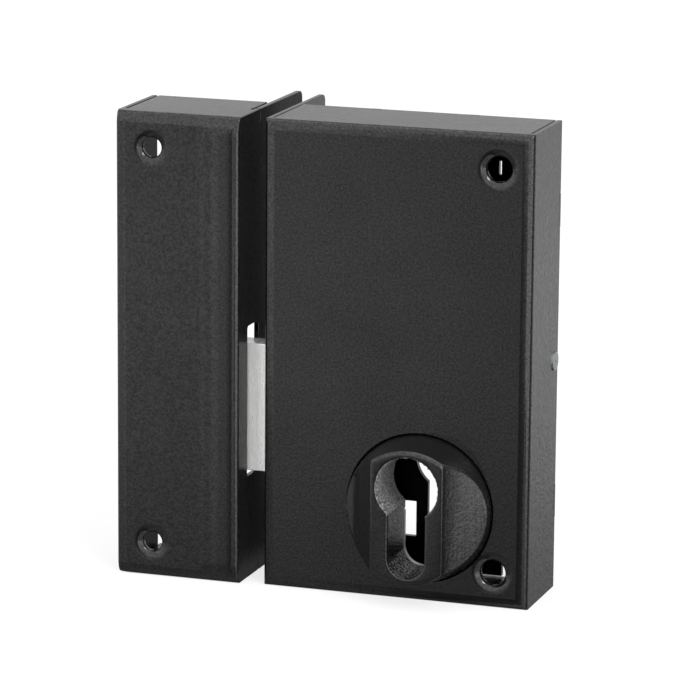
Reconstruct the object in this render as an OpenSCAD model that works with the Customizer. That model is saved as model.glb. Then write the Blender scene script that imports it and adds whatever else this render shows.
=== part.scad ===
// Surface-mounted rim lock for a profile cylinder, with its box strike.
// Lock frame used by the modules: X from the lock face towards the hinge side,
// Y from the front of the case towards the door, Z up from the bottom edge.

/* [Case] */
// Width of the case across its front
case_w = 75.5; // [74.5:0.5:84]
// Height of the case and of the strike
case_h = 130; // [118:1:160]
// Depth of the case from its front to the door
case_d = 27; // [26.5:0.5:32]
// Thickness of the folded sheet
sheet = 1.5; // [1.2:0.1:1.8]
// Outer radius of the folds
fold_r = 2; // [1.9:0.1:3]
// How far the lock-side lip reaches past the door face
lip_reach = 19.5; // [16:0.5:26]
// Radius of the rear corners of both lips
lip_corner_r = 2; // [1:0.5:5]
// Width of the slit between a side flange and the top or bottom flap
flap_slit = 0.5; // [0.3:0.1:1.2]
// Distance of the dimpled screw holes from the outer edges of the case
screw_inset = 9.75; // [9.5:0.25:11]
// Distance of the dimpled screw holes from the left edge of the strike
strike_inset = 10.5; // [9.5:0.25:12]
// Radius of the access holes in the case front
access_r = 3.5; // [3:0.1:3.7]
// Depth of the dimples round the screw holes
dimple_depth = 0.9; // [0.6:0.1:1.1]
// Radius of the countersunk screw holes in both lips
lip_hole_r = 2.25; // [2:0.05:2.75]
// Height of the lip screws above the bottom edge and below the top edge
lip_hole_inset = 20; // [12:1:24]

/* [Back plate] */
// Thickness of the back plate
plate_t = 1.5; // [1.2:0.1:2]
// Radius of the wood screw holes in the back plate
plate_screw_r = 2.6; // [2.2:0.1:3]
// Length of the tabs in the side flange
tab_l = 9.6; // [8:0.2:12]
// Distance of the tabs from the top and bottom edges
tab_inset = 24.5; // [20:0.5:30]
// Width of the small tabs in the top and bottom flaps
small_tab_w = 3; // [2:0.5:5]
// Width of the notch in the plate's bottom edge
foot_notch_w = 6; // [3:0.5:8]
// Width of the slit near the plate's upper right corner
top_slit_w = 0.7; // [0.5:0.1:1.5]
// Radius of the rivet that holds the plate's ear
ear_rivet_r = 1.6; // [1.4:0.1:2]
// Radius of that rivet's outer head
ear_rivet_head_r = 2.6; // [2.3:0.1:3]

/* [Cylinder] */
// Distance of the cylinder axis from the lock face
backset = 45; // [44.5:0.5:46]
// Height of the cylinder axis above the bottom edge
axis_z = 34; // [33.5:0.5:38]
// Radius of the round part of the cylinder opening
profile_r = 8.75; // [8.65:0.05:8.9]
// Width of the narrow part of the cylinder opening
profile_slot = 10.5; // [10.2:0.1:10.8]
// Height of the whole cylinder opening
profile_h = 33.5; // [33.2:0.1:34]
// Reach of the cylinder's cam from its axis
cam_reach = 15; // [14.5:0.1:15.3]
// Distance of the cam's middle from the front of the case
cam_y = 16.5; // [16:0.5:18]

/* [Collar] */
// Radius of the collar where it passes the case front
collar_r = 20.4; // [20:0.1:21]
// Radius of the ends of the raised bar at its front
bar_end_r = 18.6; // [18:0.1:19.5]
// Width of the raised bar
bar_w = 20.5; // [19:0.5:23]
// How far the bar stands proud of the case front
collar_out = 12; // [8:0.5:16]
// How far the rim of the flanks stands proud
rim_out = 2.4; // [1:0.2:3.6]
// Step from the bar's front down to the top of a flank
bar_step = 0.8; // [0.4:0.1:1.5]
// Thickness of the collar's flange behind the case front
collar_flange_t = 1.5; // [1.2:0.1:1.8]
// Width of the flange past the hole in the case front
collar_overlap = 1.0; // [0.6:0.1:1.1]
// Depth of the round boss behind the flange
collar_boss = 1.5; // [1.5:0.5:5]

/* [Bolt] */
// Height of the bolt
bolt_h = 36; // [34:0.5:38]
// Thickness of the bolt
bolt_t = 7; // [6:0.5:7.5]
// Distance of the bolt from the front of the case
bolt_front = 6.8; // [6.4:0.1:7.2]
// Height of the bolt's middle above the cylinder axis
bolt_rise = 14.5; // [14:0.5:15.5]
// How far the bolt stands out of the lock face at rest, which is its travel back
throw_in = 17; // [15:0.5:17.5]
// Last travel outwards, in which the tumbler's notch comes under its pin
throw_out = 3; // [2.8:0.1:3.4]
// Thickness of the tail plate
tail_t = 3; // [2.5:0.1:3.2]
// Height at which the cam enters the tail's teeth, above the cylinder axis
bite_h = 11; // [10:0.5:12]
// Width of the notch that the cam drives
notch_w = 10; // [9:0.5:11]
// Width of a tooth beside the notch
tooth_w = 6; // [4:0.5:7]

/* [Studs and tumbler] */
// Radius of the studs' journals
journal_r = 3; // [2.5:0.1:3.2]
// Radius of the studs' shoulders
shoulder_r = 4; // [3.7:0.1:4.2]
// Thickness of the tumbler lever
lever_t = 2; // [1.5:0.1:2.5]
// Radius of the lever's eye
eye_r = 6; // [5:0.5:7]
// Depth of the tail's locking notch
lock_notch = 3; // [2:0.2:3.4]
// Radius of the lever's stop pin
stop_pin_r = 1.5; // [1.3:0.1:1.7]
// Wire radius of the tumbler's spring
wire_r = 0.5; // [0.3:0.05:0.6]
// Thickness of the retaining clips
clip_t = 0.8; // [0.6:0.1:0.9]
// Thickness of the stiffening plate behind the lock face
guide_t = 2; // [1.5:0.1:2.5]

/* [Clamp] */
// Thickness of the plate that holds the collar
clamp_t = 1.5; // [1.2:0.1:1.8]
// Radius of the clamp plate's round part
clamp_r = 20; // [19.5:0.1:20.3]
// Width of the clamp plate's arms
arm_w = 8; // [7:0.5:8.5]
// Radius of the spacer posts
post_r = 3; // [2.6:0.1:3.4]
// Radius of the small screws' shanks
small_screw_r = 1.45; // [1.25:0.05:1.6]

/* [Strike] */
// Width of the strike
strike_w = 36; // [34:0.5:44]
// How far the strike's front stands in front of the case's
strike_proud = 1.5; // [0:0.1:2]
// Gap between the strike and the lock face
strike_gap = 6.6; // [3:0.2:9]
// How far the strike's lip reaches past the frame face
strike_reach = 23.3; // [18:0.5:28]
// Height of the bolt window
window_h = 42.3; // [39.5:0.1:46]
// Width of the bolt window
window_w = 9; // [8.6:0.1:9.6]
// Height of the window's middle above the bolt's middle
window_rise = 1.55; // [0:0.05:2]
// Width of the soft ramp at the strike's right edge
ramp_w = 7.4; // [5:0.2:9]
// How far the ramp falls back
ramp_drop = 0.9; // [0.4:0.1:1.1]
// Radius of the rolled bead at the strike's right edge
bead_r = 1.2; // [1:0.05:1.3]
// Radius of the strike's screw holes
strike_screw_r = 2.75; // [2.4:0.05:3]
// Distance from the front to the relief slits in the strike's side flange
relief_y = 15; // [12:0.5:20]
// Depth of the relief slits
relief_depth = 3.6; // [2:0.2:5]

/* [Hidden] */
$fn = 64;

// Clearances
cut = 1;
running_fit = 0.05;
rivet_fit = 0.03;
free_gap = 0.1;
window_clear = 0.3;
collar_gap = 0.35;
edge_gap = 0.4;
profile_clear = 0.3;

// Case and back plate
inner_r = max(fold_r - sheet, 0.2);
lip_end = case_d + lip_reach;
plate_y = case_d - plate_t;
plate_left = sheet + free_gap;
plate_right = case_w - sheet - free_gap;
screw_x = case_w - screw_inset;
screw_zs = [screw_inset, case_h - screw_inset];
dimple_r = access_r + 1.2;
dimple_back_r = access_r + 0.8;
tab_zs = [tab_inset, case_h - tab_inset];
small_tab_xs = [23, backset + 6];
foot_notch_x = screw_x - 4.8;
foot_notch_top = 5;
top_slit_x = screw_x - 7.3;
top_slit_z = case_h - screw_inset - 6;
top_slit_h = 3.8;
side_slot_w = 4.4;
side_slot_h = 10;
side_slot_off = 11.1;
side_slot_z = axis_z - 23;
ear_t = plate_t;
ear_y = case_d - 9;
ear_z = case_h / 2 - 0.7;
ear_l = 16;
ear_rivet_y = case_d - 3.2;
ear_rivet_head_h = 0.35;
ear_rivet_dot_r = 0.35;
ear_rivet_dot_h = 0.15;
lip_hole_y = case_d + lip_reach / 2;
lip_hole_zs = [lip_hole_inset, case_h - lip_hole_inset];
lip_sink = 1;

// Bolt, measured at rest
bolt_z = axis_z + bolt_rise;
bolt_low = bolt_z - bolt_h / 2;
bolt_high = bolt_z + bolt_h / 2;
tail_y0 = bolt_front + bolt_t;
tail_y1 = tail_y0 + tail_t;
tooth_z = axis_z + bite_h;
relief_z = axis_z + cam_reach + 1;
tail_top = bolt_high - 0.5;
tail_x0 = sheet + guide_t + throw_out + 0.5;
tail_x1 = case_w - sheet - throw_in - 2;
notch_x = backset - (throw_in - throw_out) / 2;
head_x1 = backset - cam_reach - 1 - throw_in;
tongue_x1 = head_x1 + 6;
tail_rivet_x = (tail_x0 + tongue_x1) / 2;
tail_rivet_zs = [relief_z + 3.2, tail_top - 3.2];
tail_rivet_r = 2;

// Guide stud and tumbler
stud_x = backset - 3;
stud_z = (relief_z + tail_top) / 2;
shoulder_y = tail_y1 + free_gap;
lever_y0 = tail_y1 + window_clear;
lever_y1 = lever_y0 + lever_t;
pivot_x = case_w - sheet - eye_r - 2;
pivot_z = tail_top + eye_r;
stop_x = tail_x0 + throw_in - stop_pin_r - 0.5;
stop_z = tail_top + free_gap + stop_pin_r;
lock_notch_x = stop_x + throw_out;
lock_notch_w = 2 * (stop_pin_r + window_clear);
belly_x0 = stud_x + shoulder_r + 2.5;
belly_x1 = belly_x0 + 6.5;
belly_z = axis_z + bite_h + 0.5;
belly_slant = 2;
arm_low = tail_top - 0.8;
lever_tip_x = stop_x - 3;
lever_tip_z = stop_z + 3;
groove_r = journal_r - 0.65;
clip_r = journal_r + 1.8;
tenon_r = 2.5;

// Spring of the tumbler
coil_r = shoulder_r + wire_r + 0.5;
coil_pitch = 2 * wire_r + 0.15;
coil_y0 = lever_y1 + wire_r + 0.3;
coil_room = plate_y - coil_y0 - wire_r - edge_gap;
spring_turns = floor(coil_room / coil_pitch - 0.35);
hook_x = pivot_x - 2 * eye_r - 2;
hook_z = lever_tip_z + (pivot_z + eye_r - lever_tip_z) * (hook_x - lever_tip_x)
    / (pivot_x - lever_tip_x) + wire_r + free_gap;
hook_far = norm([pivot_x - hook_x, hook_z - pivot_z]);
coil_start = 180 - atan2(hook_z - pivot_z, pivot_x - hook_x) + acos(coil_r / hook_far);
coil_sweep = 360 - coil_start + 360 * spring_turns;
rest_leg_x = case_w - sheet - wire_r - free_gap;
rest_leg_l = 2 * eye_r;
wire_sides = 8;
coil_steps = 20;

// Stiffening plate
guide_low = bolt_low - 8;
guide_high = bolt_high + 9;
guide_rivet_y = cam_y + 4;
guide_rivet_zs = [bolt_low - 0.5, bolt_high + 1.5];
guide_rivet_r = 1.5;
cylinder_screw_r = 2.75;
cylinder_screw_z = axis_z - 20;

// Collar and its clamp
collar_z = axis_z + profile_r - profile_h / 2;
collar_hole_r = collar_r + collar_gap;
collar_flange_r = collar_hole_r + collar_overlap;
clamp_y = sheet + collar_flange_t;
clamp_back = clamp_y + clamp_t;
boss_r = profile_r + 2.25;
boss_end = clamp_y + collar_boss;
flank_power = 1.6;
flank_points = 10;
post_xs = [backset - clamp_r - 1, case_w - sheet - 2 * post_r];
post_zs = [collar_z - clamp_r + 1, collar_z + clamp_r / 2];
post_bore_r = small_screw_r + running_fit;
eye_pad_r = arm_w / 2 + 0.8;
post_tenon_r = 2.2;
post_tenon_hole = post_tenon_r + rivet_fit;
clamp_screw_l = 8;
sink_r = small_screw_r + 1.1;
sink_h = 1.1;
collar_screw_x = 15;
collar_screw_z = 6;
collar_screw_l = 5;
pan_r = 2.7;
pan_h = 1.6;

// Strike
strike_right = -strike_gap;
strike_left = strike_right - strike_w;
strike_front = -strike_proud;
strike_lip_end = case_d + strike_reach;
strike_screw_x = strike_left + strike_inset;
strike_dimple_r = strike_screw_r + 1;
bead_x = strike_right - bead_r;
bead_y = strike_front + bead_r + 0.2;
ramp_x1 = bead_x - bead_r - 0.3;
ramp_x0 = ramp_x1 - ramp_w;
ramp_steps = 8;
window_z = bolt_z + window_rise;
window_y0 = bolt_front + bolt_t / 2 - window_w / 2;
window_corner = 1;
strike_flap_gap = 0.6;

// The part's origin is under the middle of its box
mid_x = (strike_left + case_w) / 2;
mid_y = (strike_lip_end - collar_out) / 2;

// Placing and extruding helpers
module place() {
    translate([-mid_x, -mid_y, 0]) children();
}

module along_x(x0, x1) {
    translate([x0, 0, 0]) rotate([90, 0, 90]) linear_extrude(x1 - x0) children();
}

module along_y(y0, y1) {
    translate([0, y1, 0]) rotate([90, 0, 0]) linear_extrude(y1 - y0) children();
}

module along_z(z0, z1) {
    translate([0, 0, z0]) linear_extrude(z1 - z0) children();
}

module rod_x(y, z, x0, x1, r) {
    translate([x0, y, z]) rotate([0, 90, 0]) cylinder(h = x1 - x0, r = r);
}

module rod_y(x, z, y0, y1, r) {
    translate([x, y0, z]) rotate([-90, 0, 0]) cylinder(h = y1 - y0, r = r);
}

module cone_y(x, z, y0, y1, r0, r1) {
    translate([x, y0, z]) rotate([-90, 0, 0]) cylinder(h = y1 - y0, r1 = r0, r2 = r1);
}

// Rectangle with two round corners on its low Y side
module folded_outline(x0, x1, y0, y1, r) {
    translate([x0 + r, y0]) square([x1 - x0 - 2 * r, y1 - y0]);
    translate([x0, y0 + r]) square([x1 - x0, y1 - y0 - r]);
    translate([x0 + r, y0 + r]) circle(r);
    translate([x1 - r, y0 + r]) circle(r);
}

// Block whose front face is folded back on all four sides
module folded_block(x0, x1, y0, y1, z0, z1, r) {
    intersection() {
        along_z(z0, z1) folded_outline(x0, x1, y0, y1, r);
        along_x(x0, x1) mirror([1, -1]) folded_outline(z0, z1, y0, y1, r);
    }
}

// Side view of a lip, with round rear corners
module lip_outline(y0, y1, h) {
    mirror([1, -1]) mirror([0, 1]) folded_outline(0, h, -y1, -y0, lip_corner_r);
}

module rounded_window(x0, x1, y0, y1, r) {
    translate([x0 + r, y0]) square([x1 - x0 - 2 * r, y1 - y0]);
    translate([x0, y0 + r]) square([x1 - x0, y1 - y0 - 2 * r]);
    for (x = [x0 + r, x1 - r], y = [y0 + r, y1 - r]) translate([x, y]) circle(r);
}

// Round-ended slot from x0 to x1, measured to its ends
module slot_outline(x0, x1, y, r) {
    translate([x0 + r, y - r]) square([x1 - x0 - 2 * r, 2 * r]);
    translate([x0 + r, y]) circle(r);
    translate([x1 - r, y]) circle(r);
}

// Opening for a profile cylinder, about the cylinder's axis
module profile_outline(grow = 0) {
    drop = profile_h - profile_r - profile_slot / 2;
    circle(profile_r + grow);
    translate([-profile_slot / 2 - grow, -drop]) square([profile_slot + 2 * grow, drop]);
    translate([0, -drop]) circle(profile_slot / 2 + grow);
}

// Metal pressed in round a screw hole, and the hole itself
module dimple_body(x, z, y, r) {
    cone_y(x, z, y + sheet - running_fit, y + sheet + dimple_depth, r + 0.4, r);
}

module dimple_cut(x, z, y, r_face, r_hole) {
    cone_y(x, z, y, y + dimple_depth, r_face, r_hole);
    rod_y(x, z, y - cut, y + sheet + dimple_depth + cut, r_hole);
    rod_y(x, z, y - cut, y, r_face);
}

// Case
module case_shell() {
    place() color([0.16, 0.16, 0.17]) difference() {
        union() {
            difference() {
                folded_block(0, case_w, 0, case_d, 0, case_h, fold_r);
                folded_block(sheet, case_w - sheet, sheet, case_d + cut, sheet, case_h - sheet, inner_r);
            }
            along_x(0, sheet) lip_outline(fold_r + cut, lip_end, case_h);
            for (z = screw_zs) dimple_body(screw_x, z, 0, dimple_back_r - 0.2);
        }
        for (z = screw_zs) dimple_cut(screw_x, z, 0, dimple_r, access_r);
        rod_y(backset, collar_z, -cut, sheet + cut, collar_hole_r);
        bolt_passage(-cut, sheet + cut);
        rod_x(cam_y, cylinder_screw_z, -cut, sheet + cut, cylinder_screw_r);
        for (z = guide_rivet_zs) rod_x(guide_rivet_y, z, -cut, sheet + cut, guide_rivet_r + rivet_fit);
        for (z = lip_hole_zs) lip_screw_hole(lip_hole_y, z);
        for (z = [-cut, case_h - sheet - inner_r]) {
            flap_cut(sheet, flap_slit, z);
            flap_cut(case_w - sheet - free_gap, free_gap, z);
        }
        for (z = tab_zs) translate([case_w - sheet - cut, plate_y, z - tab_l / 2])
            cube([sheet + 2 * cut, plate_t + cut, tab_l]);
        for (x = small_tab_xs, z = [-cut, case_h - sheet - cut])
            translate([x - small_tab_w / 2, plate_y, z]) cube([small_tab_w, plate_t + cut, sheet + 2 * cut]);
        rod_x(ear_rivet_y, ear_z, case_w - sheet - cut, case_w + cut, ear_rivet_r + rivet_fit);
    }
}

// Slit that parts a flap from a side flange behind the front fold
module flap_cut(x, w, z) {
    translate([x, fold_r + cut, z]) cube([w, case_d, sheet + inner_r + cut]);
}

module bolt_passage(x0, x1) {
    translate([x0, bolt_front - window_clear, bolt_low - window_clear])
        cube([x1 - x0, bolt_t + 2 * window_clear, bolt_h + 2 * window_clear]);
}

// Countersunk hole through the case's lip, sunk from the lock face
module lip_screw_hole(y, z) {
    rod_x(y, z, -cut, sheet + cut, lip_hole_r);
    translate([0, y, z]) rotate([0, 90, 0])
        cylinder(h = lip_sink, r1 = lip_hole_r + lip_sink, r2 = lip_hole_r);
}

// Plate that closes the case at the door
module back_plate() {
    place() color([0.16, 0.16, 0.17]) difference() {
        union() {
            along_y(plate_y, case_d) translate([plate_left, sheet + edge_gap])
                square([plate_right - plate_left, case_h - 2 * (sheet + edge_gap)]);
            for (z = tab_zs) translate([plate_right - cut, plate_y, z - tab_l / 2 + free_gap])
                cube([case_w - plate_right + cut, plate_t, tab_l - 2 * free_gap]);
            for (x = small_tab_xs) translate([x - small_tab_w / 2 + free_gap, plate_y, 0])
                cube([small_tab_w - 2 * free_gap, plate_t, case_h]);
            translate([plate_right - ear_t, ear_y, ear_z - ear_l / 2]) cube([ear_t, case_d - ear_y, ear_l]);
        }
        translate([backset, 0, axis_z]) along_y(plate_y - cut, case_d + cut) profile_outline(profile_clear);
        for (side = [-1, 1])
            translate([backset + side * side_slot_off - side_slot_w / 2, plate_y - cut, side_slot_z])
                cube([side_slot_w, plate_t + 2 * cut, side_slot_h]);
        translate([foot_notch_x, plate_y - cut, 0]) cube([foot_notch_w, plate_t + 2 * cut, foot_notch_top]);
        translate([top_slit_x, plate_y - cut, top_slit_z]) cube([top_slit_w, plate_t + 2 * cut, top_slit_h]);
        for (z = screw_zs) rod_y(screw_x, z, plate_y - cut, case_d + cut, plate_screw_r);
        for (i = [0, 1]) rod_y(post_xs[i], post_zs[i], plate_y - cut, case_d + cut, post_tenon_hole);
        rod_y(stud_x, stud_z, plate_y - cut, case_d + cut, tenon_r + rivet_fit);
        rod_y(pivot_x, pivot_z, plate_y - cut, case_d + cut, tenon_r + rivet_fit);
        rod_x(ear_rivet_y, ear_z, plate_right - ear_t - cut, case_w, ear_rivet_r + rivet_fit);
    }
}

module back_plate_rivet() {
    place() color([0.75, 0.76, 0.78]) difference() {
        union() {
            rod_x(ear_rivet_y, ear_z, plate_right - ear_t, case_w + ear_rivet_head_h, ear_rivet_r);
            rod_x(ear_rivet_y, ear_z, case_w, case_w + ear_rivet_head_h, ear_rivet_head_r);
        }
        rod_x(ear_rivet_y, ear_z, case_w - ear_rivet_dot_h, case_w + ear_rivet_head_h + cut, ear_rivet_dot_r);
    }
}

// Plate behind the lock face that guides the bolt
module guide_plate() {
    place() color([0.62, 0.63, 0.64]) difference() {
        translate([sheet, sheet + inner_r + free_gap, guide_low])
            cube([guide_t, plate_y - sheet - inner_r - 2 * free_gap, guide_high - guide_low]);
        bolt_passage(sheet - cut, sheet + guide_t + cut);
        for (z = guide_rivet_zs)
            rod_x(guide_rivet_y, z, sheet - cut, sheet + guide_t + cut, guide_rivet_r + rivet_fit);
    }
}

module guide_plate_rivets() {
    place() color([0.75, 0.76, 0.78]) for (z = guide_rivet_zs) {
        rod_x(guide_rivet_y, z, 0, sheet + guide_t + 0.8, guide_rivet_r);
        rod_x(guide_rivet_y, z, sheet + guide_t, sheet + guide_t + 0.8, guide_rivet_r + 0.7);
    }
}

// Height of a scooped flank above the case front, at a distance from the collar's middle
function flank_out(dx) = rim_out + (collar_out - bar_step - rim_out)
    * pow((collar_r - dx) / (collar_r - bar_w / 2), flank_power);

function flank_side(side) = [
    for (i = [0 : flank_points])
        let (dx = bar_w / 2 + (collar_r - bar_w / 2) * i / flank_points)
        [side * dx, -flank_out(dx)]
];

// Section of the collar across the raised bar
module collar_section() {
    left = flank_side(-1);
    polygon(concat(
        [[bar_w / 2, -collar_out]],
        flank_side(1),
        [[collar_r + cut, -rim_out], [collar_r + cut, running_fit]],
        [[-collar_r - cut, running_fit], [-collar_r - cut, -rim_out]],
        [for (i = [flank_points : -1 : 0]) left[i]],
        [[-bar_w / 2, -collar_out]]
    ));
}

// Cast collar that guards the cylinder
module cylinder_collar() {
    place() color([0.14, 0.14, 0.15]) difference() {
        union() {
            translate([backset, 0, collar_z]) intersection() {
                rotate([90, 0, 0]) cylinder(h = collar_out, r1 = collar_r, r2 = bar_end_r);
                along_z(-collar_r, collar_r) collar_section();
            }
            rod_y(backset, collar_z, 0, clamp_y, collar_r);
            rod_y(backset, collar_z, sheet, clamp_y, collar_flange_r);
            rod_y(backset, axis_z, sheet, boss_end, boss_r);
        }
        translate([backset, 0, axis_z]) along_y(-collar_out - cut, boss_end + cut) profile_outline();
        for (side = [-1, 1])
            rod_y(backset + side * collar_screw_x, collar_z - side * collar_screw_z,
                clamp_y - collar_screw_l + 1, clamp_y + cut, small_screw_r + running_fit);
    }
}

module arm_to(x, z) {
    angle = atan2(z - collar_z, x - backset);
    length = norm([x - backset, z - collar_z]);
    translate([backset, collar_z]) rotate(angle) translate([0, -arm_w / 2]) square([length, arm_w]);
    translate([x, z]) circle(eye_pad_r);
}

// Plate that presses the collar's flange against the case front
module clamp_plate() {
    place() color([0.7, 0.71, 0.72]) difference() {
        along_y(clamp_y, clamp_back) {
            translate([backset, collar_z]) circle(clamp_r);
            for (i = [0, 1]) arm_to(post_xs[i], post_zs[i]);
        }
        rod_y(backset, axis_z, clamp_y - cut, clamp_back + cut, boss_r + free_gap);
        translate([backset, 0, axis_z]) along_y(clamp_y - cut, clamp_back + cut) profile_outline();
        for (i = [0, 1]) {
            rod_y(post_xs[i], post_zs[i], clamp_y - cut, clamp_back + cut, small_screw_r + free_gap);
            cone_y(post_xs[i], post_zs[i], clamp_y, clamp_y + sink_h, sink_r + free_gap,
                small_screw_r + free_gap);
        }
        for (side = [-1, 1])
            rod_y(backset + side * collar_screw_x, collar_z - side * collar_screw_z,
                clamp_y - cut, clamp_back + cut, small_screw_r + free_gap);
    }
}

module clamp_posts() {
    place() color([0.72, 0.73, 0.74]) for (i = [0, 1]) difference() {
        union() {
            rod_y(post_xs[i], post_zs[i], clamp_back, plate_y, post_r);
            rod_y(post_xs[i], post_zs[i], plate_y, case_d, post_tenon_r);
        }
        rod_y(post_xs[i], post_zs[i], clamp_back - cut, clamp_y + clamp_screw_l + 0.5, post_bore_r);
    }
}

module clamp_screws() {
    place() color([0.78, 0.78, 0.76]) for (i = [0, 1]) difference() {
        union() {
            cone_y(post_xs[i], post_zs[i], clamp_y, clamp_y + sink_h, sink_r, small_screw_r);
            rod_y(post_xs[i], post_zs[i], clamp_y, clamp_y + clamp_screw_l, small_screw_r);
        }
        translate([post_xs[i] - sink_r, clamp_y - cut, post_zs[i] - 0.3])
            cube([2 * sink_r, cut + 0.5, 0.6]);
    }
}

module collar_screws() {
    place() color([0.78, 0.78, 0.76]) for (side = [-1, 1]) difference() {
        union() {
            rod_y(backset + side * collar_screw_x, collar_z - side * collar_screw_z,
                clamp_back, clamp_back + pan_h, pan_r);
            rod_y(backset + side * collar_screw_x, collar_z - side * collar_screw_z,
                clamp_y - collar_screw_l + 1.5, clamp_back + pan_h, small_screw_r);
        }
        translate([backset + side * collar_screw_x - pan_r, clamp_back + pan_h - 0.6,
            collar_z - side * collar_screw_z - 0.4]) cube([2 * pan_r, cut, 0.8]);
    }
}

// Stud with a shoulder, a journal with a clip groove and a tenon in the back plate
module shouldered_stud(x, z, shoulder_face, clip_back) {
    rod_y(x, z, shoulder_face, plate_y, shoulder_r);
    rod_y(x, z, plate_y, case_d, tenon_r);
    rod_y(x, z, clip_back, shoulder_face, journal_r);
    rod_y(x, z, clip_back - clip_t - free_gap, clip_back, groove_r);
    rod_y(x, z, clip_back - clip_t - free_gap - 1, clip_back - clip_t - free_gap, journal_r);
}

module guide_stud() {
    place() color([0.74, 0.75, 0.76]) shouldered_stud(stud_x, stud_z, shoulder_y, tail_y0 - free_gap / 2);
}

module tumbler_pivot() {
    place() color([0.74, 0.75, 0.76])
        shouldered_stud(pivot_x, pivot_z, lever_y1 + free_gap, lever_y0 - free_gap / 2);
}

module clip(x, z, back) {
    along_y(back - clip_t, back - running_fit) translate([x, z]) difference() {
        circle(clip_r);
        circle(groove_r + running_fit);
        translate([-groove_r * 0.8, -clip_r - cut]) square([groove_r * 1.6, clip_r + cut]);
    }
}

module stud_clips() {
    place() color([0.5, 0.5, 0.52]) {
        clip(stud_x, stud_z, tail_y0 - free_gap / 2);
        clip(pivot_x, pivot_z, lever_y0 - free_gap / 2);
    }
}

// Bolt
module bolt_head() {
    place() color([0.85, 0.85, 0.83]) difference() {
        along_y(bolt_front, tail_y0) polygon([
            [-throw_in, bolt_low], [head_x1, bolt_low], [head_x1, relief_z],
            [tongue_x1, relief_z], [tongue_x1, bolt_high], [-throw_in, bolt_high]
        ]);
        for (z = tail_rivet_zs)
            rod_y(tail_rivet_x, z, bolt_front - cut, tail_y0 + cut, tail_rivet_r + rivet_fit);
    }
}

module tail_outline() {
    inner = notch_w / 2;
    outer = inner + tooth_w;
    difference() {
        polygon([
            [tail_x0, relief_z], [notch_x - outer, relief_z], [notch_x - outer, tooth_z],
            [notch_x - inner, tooth_z], [notch_x - inner, relief_z],
            [notch_x + inner, relief_z], [notch_x + inner, tooth_z],
            [notch_x + outer, tooth_z], [notch_x + outer, relief_z],
            [tail_x1, relief_z], [tail_x1, tail_top], [tail_x0, tail_top]
        ]);
        translate([lock_notch_x - lock_notch_w / 2, tail_top - lock_notch])
            square([lock_notch_w, lock_notch + cut]);
        slot_outline(stud_x - throw_in - journal_r - running_fit,
            stud_x + throw_out + journal_r + running_fit, stud_z, journal_r + running_fit);
    }
}

module tail_plate() {
    place() color([0.66, 0.67, 0.68]) difference() {
        along_y(tail_y0, tail_y1) tail_outline();
        for (z = tail_rivet_zs)
            rod_y(tail_rivet_x, z, tail_y0 - cut, tail_y1 + cut, tail_rivet_r + rivet_fit);
    }
}

module tail_rivets() {
    place() color([0.75, 0.76, 0.78]) for (z = tail_rivet_zs)
        rod_y(tail_rivet_x, z, bolt_front, tail_y1, tail_rivet_r);
}

// Tumbler
module tumbler_lever() {
    place() color([0.78, 0.7, 0.5]) difference() {
        along_y(lever_y0, lever_y1) {
            polygon([
                [lever_tip_x, arm_low], [belly_x0, arm_low], [belly_x0, belly_z + belly_slant],
                [belly_x0 + belly_slant, belly_z], [belly_x1 - belly_slant, belly_z],
                [belly_x1, belly_z + belly_slant],
                [belly_x1, pivot_z - eye_r], [pivot_x, pivot_z - eye_r],
                [pivot_x, pivot_z + eye_r], [lever_tip_x, lever_tip_z]
            ]);
            translate([pivot_x, pivot_z]) circle(eye_r);
        }
        rod_y(pivot_x, pivot_z, lever_y0 - cut, lever_y1 + cut, journal_r + running_fit);
        rod_y(stop_x, stop_z, lever_y0 - cut, lever_y1 + cut, stop_pin_r + rivet_fit);
    }
}

module tumbler_stop_pin() {
    place() color([0.75, 0.76, 0.78]) rod_y(stop_x, stop_z, tail_y0 + window_clear, lever_y1, stop_pin_r);
}

// Wire swept along a path, with its section kept square to the path
function unit(v) = v / norm(v);
function tangent(path, i) =
    unit(path[min(i + 1, len(path) - 1)] - path[max(i - 1, 0)]);
function carried(path, i, n) =
    let (t = tangent(path, i), m = n - (n * t) * t) unit(m);
function normals(path, i, n) =
    i == len(path) ? [] : let (m = carried(path, i, n)) concat([m], normals(path, i + 1, m));

module wire(path, r, start_normal) {
    frames = normals(path, 0, start_normal);
    rings = len(path);
    points = [
        for (i = [0 : rings - 1], k = [0 : wire_sides - 1])
            let (a = 360 * k / wire_sides, n = frames[i], b = cross(tangent(path, i), n))
            path[i] + r * (cos(a) * n + sin(a) * b)
    ];
    sides = [
        for (i = [0 : rings - 2], k = [0 : wire_sides - 1])
            let (a = i * wire_sides + k, b = i * wire_sides + (k + 1) % wire_sides)
            [a, a + wire_sides, b + wire_sides, b]
    ];
    ends = [
        [for (k = [0 : wire_sides - 1]) k],
        [for (k = [wire_sides - 1 : -1 : 0]) (rings - 1) * wire_sides + k]
    ];
    polyhedron(points, concat(sides, ends), convexity = 6);
}

// Spring hooked over the lever's arm, coiled round the pivot's shoulder, its other leg on the case
function spring_path() = let (steps = round(coil_sweep / 360 * coil_steps)) concat(
    [[hook_x, lever_y0 + wire_r, hook_z], [hook_x, coil_y0 - 0.6, hook_z],
     [hook_x + 0.4, coil_y0, hook_z - 0.3]],
    [for (i = [0 : steps])
        let (a = coil_start + coil_sweep * i / steps)
        [pivot_x + coil_r * cos(a), coil_y0 + coil_pitch * coil_sweep / 360 * i / steps,
         pivot_z + coil_r * sin(a)]],
    [[rest_leg_x, coil_y0 + coil_pitch * coil_sweep / 360, pivot_z + rest_leg_l]]
);

module tumbler_spring() {
    place() color([0.55, 0.56, 0.58]) wire(spring_path(), wire_r, [1, 0, 0]);
}

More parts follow.
